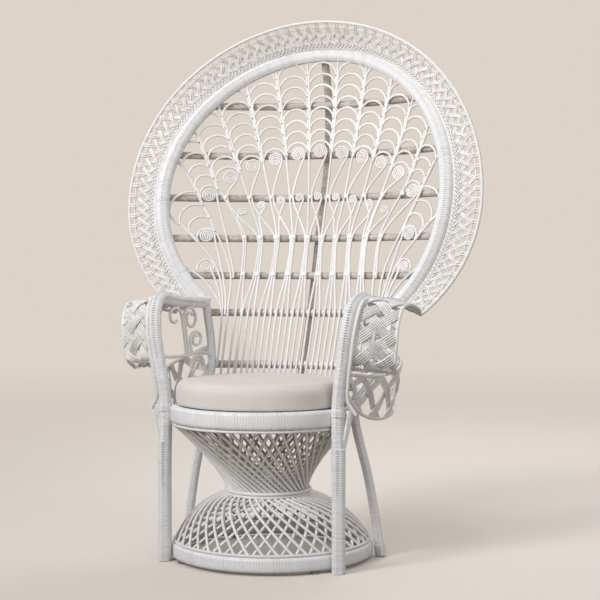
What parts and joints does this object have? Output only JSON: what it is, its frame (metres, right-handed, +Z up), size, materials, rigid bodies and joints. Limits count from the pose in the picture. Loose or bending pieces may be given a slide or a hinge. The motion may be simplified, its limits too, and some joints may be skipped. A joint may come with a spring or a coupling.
{
  "type": "peacock chair",
  "caption": "White wrapped-rattan peacock chair with a round fan back, laced border, woven arm wings, hourglass cane pedestal and a loose round canvas seat cushion.",
  "frame": {"origin": "middle of the chair's overall footprint, on the floor under its feet", "axes": "+Z up, -Y towards the front of the seat, +X to the sitter's left hand as seen on the right of the picture"},
  "size_m": [1.0766, 0.841, 1.5246],
  "materials": {
    "pole": "white-lacquered rattan pole bound with split cane, satin",
    "cane": "white-lacquered round cane, satin",
    "crossbar": "worn white lacquer over greyish rattan, matt",
    "canvas": "off-white cotton canvas, matt",
    "glide": "grey plastic, matt"
  },
  "bodies": {
    "frame": {"base_ring": "pole", "base_top_hoop": "cane", "base_glide_1": "glide", "base_glide_2": "glide", "base_glide_3": "glide", "base_glide_4": "glide", "seat_ring": "pole", "seat_under_hoop": "cane", "pedestal_strands_outer": "cane", "pedestal_strands_inner": "cane", "seat_bearer": "crossbar", "seat_deck": "crossbar", "back_rim_pole": "pole", "border_outer_rod": "cane", "border_lattice_1": "cane", "border_lattice_2": "cane", "border_lattice_3": "cane", "border_lattice_4": "cane", "border_lattice_5": "cane", "border_lattice_6": "cane", "right_arm_pole": "pole", "right_rear_leg": "pole", "right_wing_weave": "cane", "right_wing_rod": "cane", "right_apron_weave": "cane", "right_apron_rod": "cane", "right_arm_scroll": "cane", "left_arm_pole": "pole", "left_rear_leg": "pole", "left_wing_weave": "cane", "left_wing_rod": "cane", "left_apron_weave": "cane", "left_apron_rod": "cane", "left_arm_scroll": "cane", "back_crossbar_1": "crossbar", "back_crossbar_2": "crossbar", "back_crossbar_3": "crossbar", "back_crossbar_4": "crossbar", "back_crossbar_5": "crossbar", "back_crossbar_6": "crossbar", "back_crossbar_7": "crossbar", "back_crossbar_8": "crossbar", "centre_brace": "pole", "fan_feather_1": "cane", "fan_feather_2": "cane", "fan_feather_3": "cane", "fan_feather_4": "cane", "fan_feather_5": "cane", "fan_feather_6": "cane", "fan_feather_7": "cane", "fan_feather_8": "cane", "fan_feather_9": "cane", "fan_feather_10": "cane", "fan_feather_11": "cane", "fan_feather_12": "cane", "fan_feather_13": "cane", "fan_feather_14": "cane", "fan_feather_15": "cane"},
    "cushion": {"seat_cushion": "canvas"}
  },
  "joints": [
    {"name": "cushion_lift", "type": "slide", "parent": "frame", "child": "cushion", "axis": [0, 0, 1], "range_m": [0, 0.35]}
  ]
}
